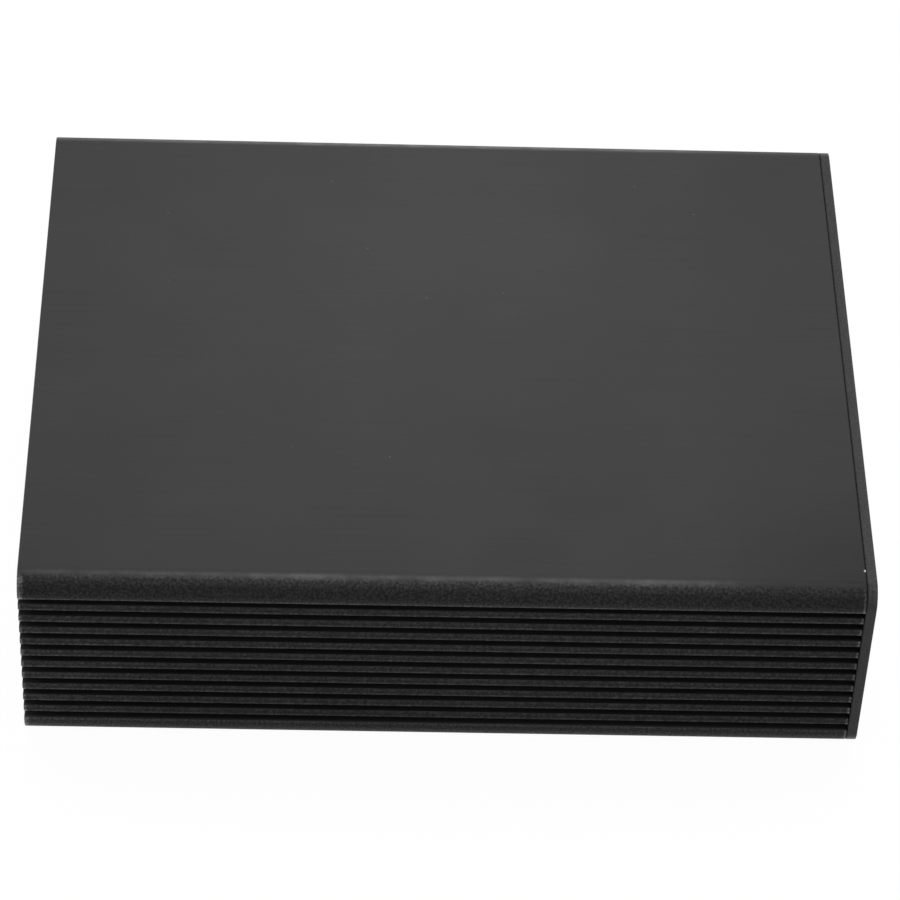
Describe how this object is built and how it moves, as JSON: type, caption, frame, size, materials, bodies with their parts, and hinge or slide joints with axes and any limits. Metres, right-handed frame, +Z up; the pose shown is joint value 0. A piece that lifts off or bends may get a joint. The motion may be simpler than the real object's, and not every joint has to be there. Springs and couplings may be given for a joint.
{
  "type": "project enclosure",
  "caption": "Extruded aluminium project enclosure with ribbed sides, board slots and screw ports inside, a flat screwed end plate and an open end for fitting electronics.",
  "frame": {"origin": "middle of the footprint, on the surface that the base stands on", "axes": "+X along the extrusion towards the end plate, +Y towards the back, +Z up"},
  "size_m": [0.1014, 0.0812, 0.0273],
  "materials": {
    "anodised_body": "black anodised, fine satin blast",
    "anodised_plate": "black anodised, fine satin blast",
    "black_screw": "black oxide"
  },
  "bodies": {
    "root": {"body_extrusion": "anodised_body", "end_plate": "anodised_plate", "plate_screw_front_top": "black_screw", "plate_screw_front_bottom": "black_screw", "plate_screw_back_top": "black_screw", "plate_screw_back_bottom": "black_screw"}
  },
  "joints": []
}
